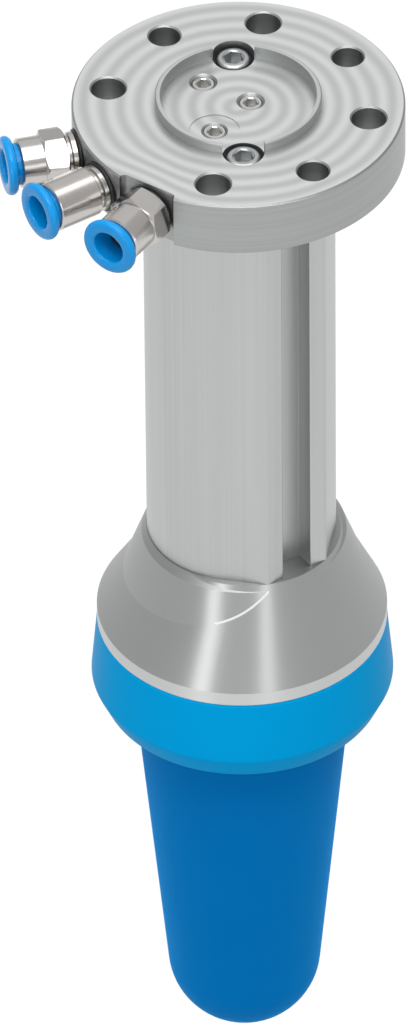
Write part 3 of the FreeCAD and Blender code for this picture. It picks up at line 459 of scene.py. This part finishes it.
barrel_low, barrel_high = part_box("cylinder_barrel")
barrel_radius, lobe_reach = 18.25 * mm, -barrel_low.y
slot_half, slot_floor = 3.15 * mm, -lobe_reach + 3.9 * mm
corner = barrel_radius * math.sqrt(2) - lobe_reach
small = 0.2 * mm
outline = arc(0, 0, barrel_radius, barrel_radius, -45, 225, 192)
outline += [
    (-corner, -lobe_reach), (-slot_half - small, -lobe_reach), (-slot_half, -lobe_reach + small),
    (-slot_half, slot_floor), (slot_half, slot_floor), (slot_half, -lobe_reach + small),
    (slot_half + small, -lobe_reach), (corner, -lobe_reach),
]
tube = prism(outline, barrel_low.z, flange_foot)
tube = combine(tube, [rod(10 * mm, barrel_low.z - 1 * mm, flange_foot + 1 * mm, 128)])
barrel = piece("barrel", tube, "housing", drawn, sharp=20, replaces=["cylinder_barrel"])
soften(barrel, 0.1 * mm)

# Bearing housing: turned aluminium with a fine satin finish that glints in rays. Its cone leans towards
# the sensor slot and runs into a steeper shoulder under the barrel. Part of the edge between them carries a
# pale strip that is a painted highlight, and the rim is left brighter.
turned, shader = surface("turned_aluminium", Metallic=1.0, Roughness=0.38)
shader.inputs["Anisotropic"].default_value = 0.85
shader.inputs["Anisotropic Rotation"].default_value = 0.25
place = add(turned, "ShaderNodeTexCoord").outputs["Object"]
round_way = add(turned, "ShaderNodeVectorMath", {0: (0, 0, 1), 1: place}, operation="CROSS_PRODUCT")
round_way = add(turned, "ShaderNodeVectorMath", {0: round_way.outputs["Vector"]}, operation="NORMALIZE")
join(turned, round_way.outputs["Vector"], shader, "Tangent")
lathe = add(turned, "ShaderNodeMapping", {"Vector": place, "Scale": (40, 40, 4200)})
lines = add(turned, "ShaderNodeTexNoise", {"Vector": lathe.outputs["Vector"], "Scale": 1.0, "Detail": 3.0})
grit = add(turned, "ShaderNodeTexNoise", {"Vector": place, "Scale": 2600.0, "Detail": 3.0})
height = add(turned, "ShaderNodeMix", {"Factor": 0.45, "A": lines.outputs["Fac"], "B": grit.outputs["Fac"]})
dent = add(turned, "ShaderNodeBump",
           {"Height": height.outputs["Result"], "Strength": 0.14, "Distance": 0.05 * mm})
join(turned, dent.outputs["Normal"], shader, "Normal")

seam = barrel_low.z
rim_radius, small = 28.1 * mm, 0.25 * mm
rim_top, rim_foot = seam - 20.2 * mm, seam - 23.3 * mm
deck, skirt_radius, skirt_foot, skirt_bore = seam - 7 * mm, 25.5 * mm, seam - 33.5 * mm, 22 * mm
spigot_top, gland_foot, rod_bore, gland_bore = seam + 7.5 * mm, seam - 12 * mm, 4.05 * mm, 9 * mm
shoulder_shift = -0.9 * mm
level = add(turned, "ShaderNodeSeparateXYZ", {"Vector": place})
below = add(turned, "ShaderNodeMath", {0: level.outputs["Z"], 1: rim_top}, operation="LESS_THAN")
tone = add(turned, "ShaderNodeMix",
           {"Factor": below.outputs["Value"], "A": linear("#a9abaa"), "B": linear("#c8cac9")},
           data_type="RGBA")
join(turned, tone.outputs["Result"], shader, "Base Color")


def stacked(circles):
    """A closed bmesh through level circles given as (radius, shift along Y, height)."""
    shape = bmesh.new()
    loops = []
    for size, shift, height_at in circles:
        made = bmesh.ops.create_circle(shape, segments=256, radius=size,
                                       matrix=Matrix.Translation((0, shift, height_at)))
        loops.append(list({edge for corner in made["verts"] for edge in corner.link_edges}))
    for upper, lower in zip(loops, loops[1:]):
        bmesh.ops.bridge_loops(shape, edges=upper + lower)
    bmesh.ops.holes_fill(shape, edges=shape.edges, sides=0)
    bmesh.ops.recalc_face_normals(shape, faces=shape.faces)
    return shape


cone = stacked([
    (17.8 * mm, -2.5 * mm, seam), (rim_radius, 0, rim_top), (rim_radius, 0, rim_foot + small),
    (rim_radius - small, 0, rim_foot),
])
shoulder = stacked([
    (18.5 * mm, -0.2 * mm, seam), (19.77 * mm, shoulder_shift, seam - 1.2 * mm),
    (24.43 * mm, shoulder_shift, seam - 14 * mm),
])
core = spun([
    (0, spigot_top), (spigot, spigot_top), (spigot, rim_top), (skirt_radius, rim_top),
    (skirt_radius, skirt_foot), (0, skirt_foot),
], 256)
bore = spun([
    (0, seam + 9 * mm), (rod_bore, seam + 9 * mm), (rod_bore, gland_foot), (gland_bore, gland_foot),
    (gland_bore, deck), (18.3 * mm, deck), (skirt_bore, rim_foot), (skirt_bore, seam - 36 * mm),
    (0, seam - 36 * mm),
], 128)
shape = combine(combine(cone, [shoulder, core], "UNION"), [bore])
meeting = []
for edge in shape.edges:
    at = edge.verts[0].co
    near_front = seam - 7.6 * mm < at.z < seam - 1.25 * mm and at.y < -10 * mm and at.x < 0
    if near_front and len(edge.link_faces) == 2 and 1.2 < math.degrees(edge.calc_face_angle()) < 15:
        meeting.append(edge)
edged = bmesh.ops.bevel(shape, geom=meeting, offset=0.22 * mm, affect="EDGES", segments=1, profile=0.5,
                        material=-1)
for strip in edged["faces"]:
    strip.material_index = 1
# The bevelled strip along the edge gets a pale, half metallic finish that is a painted highlight.
painted_highlight, shader = surface("painted_highlight_aluminium", Base_Color=linear("#e8e8e8"), Metallic=0.35, Roughness=0.5)
place = add(painted_highlight, "ShaderNodeTexCoord").outputs["Object"]
grit = add(painted_highlight, "ShaderNodeTexNoise", {"Vector": place, "Scale": 2600.0, "Detail": 3.0})
dent = add(painted_highlight, "ShaderNodeBump",
           {"Height": grit.outputs["Fac"], "Strength": 0.4, "Distance": 0.05 * mm})
join(painted_highlight, dent.outputs["Normal"], shader, "Normal")
housing = piece("housing_cone", shape, "housing", turned, sharp=4)
housing.data.materials.append(painted_highlight)
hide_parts("cone_housing")

# Clamping ring: injection moulded light blue plastic with a smooth satin skin, screwed by hand onto the
# housing over the cap's bead. Its side flares a little and then draws in to its foot.
ring_blue, shader = surface("light_blue_moulded_plastic", Roughness=0.4)
shader.inputs["Specular IOR Level"].default_value = 0.02
place = add(ring_blue, "ShaderNodeTexCoord").outputs["Object"]
mould = add(ring_blue, "ShaderNodeTexNoise", {"Vector": place, "Scale": 1500.0, "Detail": 2.0})
flow = add(ring_blue, "ShaderNodeTexNoise", {"Vector": place, "Scale": 45.0, "Detail": 2.0})
paint = add(ring_blue, "ShaderNodeMix",
            {"Factor": flow.outputs["Fac"], "A": linear("#009ddd"), "B": linear("#00a2e3")}, data_type="RGBA")
join(ring_blue, paint.outputs["Result"], shader, "Base Color")
dent = add(ring_blue, "ShaderNodeBump",
           {"Height": mould.outputs["Fac"], "Strength": 0.08, "Distance": 0.04 * mm})
join(ring_blue, dent.outputs["Normal"], shader, "Normal")

ring_low, ring_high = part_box("clamping_ring")
ring_top, ring_foot = ring_high.z, ring_low.z
widest, widest_at = 29.3 * mm, ring_top - 13.2 * mm
thread, ledge, ledge_top, foot_radius = 25.52 * mm, 21.53 * mm, ring_top - 13.4 * mm, 27.2 * mm
outline = [
    (thread, ring_top), (thread, ledge_top), (ledge, ledge_top), (ledge, ring_foot + 0.3 * mm),
    (ledge + 0.3 * mm, ring_foot), (foot_radius - 0.3 * mm, ring_foot), (foot_radius, ring_foot + 0.25 * mm),
    (widest - 0.06 * mm, widest_at - 0.25 * mm), (widest, widest_at),
    (widest - 0.01 * mm, widest_at + 0.4 * mm), (28.15 * mm, ring_top - 0.3 * mm), (27.9 * mm, ring_top),
]
shape = spun(outline, 320)
union = piece("union_ring", shape, "housing", ring_blue, sharp=18, replaces=["clamping_ring"])
soften(union, 0.25 * mm, angle=20)

# Silicone cap: cast in blue silicone with a matt skin that looks lighter at its outline, tapered to a round
# tip of even wall. When the rod lifts the tip, the cap folds and turns inside out from below.
cap_blue, shader = surface("blue_silicone", Roughness=0.5)
shader.inputs["Specular IOR Level"].default_value = 0.02
shader.inputs["Sheen Weight"].default_value = 0.8
shader.inputs["Sheen Roughness"].default_value = 0.5
shader.inputs["Sheen Tint"].default_value = linear("#00aaff")
place = add(cap_blue, "ShaderNodeTexCoord").outputs["Object"]
cloud = add(cap_blue, "ShaderNodeTexNoise", {"Vector": place, "Scale": 70.0, "Detail": 3.0})
paint = add(cap_blue, "ShaderNodeMix",
            {"Factor": cloud.outputs["Fac"], "A": linear("#006eb7"), "B": linear("#0073bd")},
            data_type="RGBA")
join(cap_blue, paint.outputs["Result"], shader, "Base Color")
skin = add(cap_blue, "ShaderNodeTexNoise", {"Vector": place, "Scale": 1800.0, "Detail": 2.0})
dent = add(cap_blue, "ShaderNodeBump",
           {"Height": skin.outputs["Fac"], "Strength": 0.12, "Distance": 0.05 * mm})
join(cap_blue, dent.outputs["Normal"], shader, "Normal")

cap_low, cap_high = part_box("silicone_cap")
cap_radius, wall, dome = 21.23 * mm, 2.6 * mm, 15 * mm
taper_angle = 5.2
taper = math.radians(taper_angle)
dome_level = cap_low.z + dome
bead_radius, bead_top, bead_foot = 25.3 * mm, cap_high.z, cap_high.z - 3.2 * mm
inner = dome - wall


def straight(start, end, steps):
    """Outline points in even steps along a straight line."""
    return [(start[0] + (end[0] - start[0]) * step / steps, start[1] + (end[1] - start[1]) * step / steps)
            for step in range(steps + 1)]


outline = [
    (cap_radius - wall, bead_top), (bead_radius, bead_top), (bead_radius, bead_foot), (cap_radius, bead_foot),
]
outline += straight((cap_radius, ring_foot),
                    (dome * math.cos(taper), dome_level - dome * math.sin(taper)), 60)[:-1]
outline += arc(0, dome_level, dome, dome, -taper_angle, -90, 24)[:-1]
outline += [(0, cap_low.z), (0, dome_level - inner)]
outline += arc(0, dome_level, inner, inner, -90, -taper_angle, 24)[1:]
outline += straight((inner * math.cos(taper), dome_level - inner * math.sin(taper)),
                    (cap_radius - wall, ring_foot), 60)[1:]
shape = spun(outline, 160)
mesh = bpy.data.meshes.new("cap")
shape.to_mesh(mesh)
shape.free()
cap = bpy.data.objects.new("cap", mesh)
bpy.context.collection.objects.link(cap)
mesh.shade_smooth()
mesh.set_sharp_from_angle(angle=math.radians(35))
mesh.materials.append(cap_blue)
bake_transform(cap)
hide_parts("silicone_cap")

# Inner parts stay as the solids of the frame and get the finish of the real piece: black seals, bright
# piston rod, sintered bronze bush, brass insert, dark magnet and pale guide band.
rod_chrome = surface("hard_chrome", Base_Color=linear("#d8d9da"), Metallic=1.0, Roughness=0.08)
bronze = surface("sintered_bronze", Base_Color=linear("#b08a4e"), Metallic=1.0, Roughness=0.45)
brass = surface("turned_brass", Base_Color=linear("#cda75a"), Metallic=1.0, Roughness=0.25)
magnet = surface("bonded_magnet", Base_Color=linear("#2b2b2c"), Roughness=0.5)
guide = surface("pale_guide_plastic", Base_Color=linear("#dedcd2"), Roughness=0.4)
marks = ((rod_chrome, 900.0), (bronze, 1500.0), (brass, 900.0), (magnet, 1200.0), (guide, 800.0))
for (finish, shader), scale in marks:
    place = add(finish, "ShaderNodeTexCoord").outputs["Object"]
    mark = add(finish, "ShaderNodeTexNoise", {"Vector": place, "Scale": scale, "Detail": 3.0})
    dent = add(finish, "ShaderNodeBump",
               {"Height": mark.outputs["Fac"], "Strength": 0.1, "Distance": 0.04 * mm})
    join(finish, dent.outputs["Normal"], shader, "Normal")
finishes = {
    "piston": turned, "piston_nut": screw_steel, "rod_locknut": screw_steel, "gland_circlip": screw_steel,
    "housing_screws": screw_steel, "piston_rod": rod_chrome[0], "rod_bush": bronze[0], "tip_insert": brass[0],
    "piston_magnet": magnet[0], "piston_guide_band": guide[0], "left_collet": screw_steel,
    "middle_collet": screw_steel, "right_collet": screw_steel,
}
seals = ["left_tube_seal", "middle_tube_seal", "right_tube_seal", "upper_barrel_seal", "lower_barrel_seal",
         "upper_piston_seal", "lower_piston_seal", "rod_seal", "rod_wiper", "upper_bumper", "lower_bumper"]
finishes.update({name: seal_rubber for name in seals})
for name, finish in finishes.items():
    mesh = nodes[name].data
    mesh.materials.clear()
    mesh.materials.append(finish)

# Camera: a long lens that looks down on the gripper from its front left, as the photograph does.
camera_data = bpy.data.cameras.new("camera")
camera = bpy.data.objects.new("camera", camera_data)
bpy.context.collection.objects.link(camera)
bpy.context.scene.camera = camera
look_at = Vector((0, 0, -100 * mm))
azimuth, pitch, roll = math.radians(-33.67), math.radians(39.6), math.radians(0.529)
distance = 3000 * mm
aside = Vector((7.284 * mm, 0.1 * mm, -distance))
level = Matrix.Rotation(-azimuth, 3, "Z")
tilt = Matrix(((1, 0, 0), (0, math.sin(pitch), math.cos(pitch)), (0, -math.cos(pitch), math.sin(pitch))))
swing = Matrix.Rotation(roll, 3, "Z")
to_world = (swing @ tilt @ level).transposed()
camera.matrix_world = Matrix.Translation(look_at - to_world @ aside) @ to_world.to_4x4()
camera_data.sensor_width = 36
camera_data.lens = 547.6
camera_data.clip_start, camera_data.clip_end = 0.1, 20

# Studio: the gripper hangs over a white floor, in even light from all round, with soft boxes at the front.
floor_mesh = bpy.data.meshes.new("floor")
ground = bmesh.new()
floor_level = -300 * mm
bmesh.ops.create_grid(ground, x_segments=1, y_segments=1, size=6,
                      matrix=Matrix.Translation((0, 0, floor_level)))
ground.to_mesh(floor_mesh)
ground.free()
floor = bpy.data.objects.new("floor", floor_mesh)
bpy.context.collection.objects.link(floor)
paper, shader = surface("white_paper", Base_Color=linear("#a6a6a6"), Roughness=0.9)
shader.inputs["Specular IOR Level"].default_value = 0.1
path = add(paper, "ShaderNodeLightPath").outputs
seen = add(paper, "ShaderNodeMath", {0: path["Is Camera Ray"], 1: path["Is Glossy Ray"]}, operation="MAXIMUM")
seen = add(paper, "ShaderNodeMath", {0: seen.outputs["Value"], 1: path["Is Transmission Ray"]},
           operation="MAXIMUM")
shader.inputs["Emission Color"].default_value = (1, 1, 1, 1)
glow = add(paper, "ShaderNodeMath", {0: seen.outputs["Value"], 1: 0.62}, operation="MULTIPLY")
join(paper, glow.outputs["Value"], shader, "Emission Strength")
floor_mesh.materials.append(paper)

world = bpy.data.worlds.new("studio")
bpy.context.scene.world = world
world.use_nodes = True
sky = world.node_tree.nodes["Background"]
sky.inputs["Color"].default_value = (1, 1, 1, 1)
sky.inputs["Strength"].default_value = 0.6


def softbox(name, bearing, elevation, away, width, height, power):
    """An area lamp aimed at the gripper; the bearing is measured from the camera's side."""
    lamp = bpy.data.lights.new(name, "AREA")
    lamp.shape, lamp.size, lamp.size_y, lamp.energy = "RECTANGLE", width, height, power
    made = bpy.data.objects.new(name, lamp)
    bpy.context.collection.objects.link(made)
    turn = azimuth + math.radians(bearing)
    up = math.radians(elevation)
    back = Vector((math.sin(turn) * math.cos(up), -math.cos(turn) * math.cos(up), math.sin(up)))
    made.location = Vector((0, 0, -110 * mm)) + back * away
    made.rotation_euler = (-back).to_track_quat("-Z", "Y").to_euler()


softbox("top_box", 0, 85, 1.6, 1.6, 1.6, 14)
softbox("back_box", 180, 44, 1.6, 1.5, 1.2, 1.2)
softbox("front_left_box", -30, 12, 1.6, 0.32, 0.8, 3.4)
softbox("front_right_box", 18, 12, 1.6, 0.26, 0.8, 2.1)
softbox("front_box", 0, 62, 1.8, 1.4, 0.5, 7)
bpy.context.scene.view_settings.view_transform = "Standard"
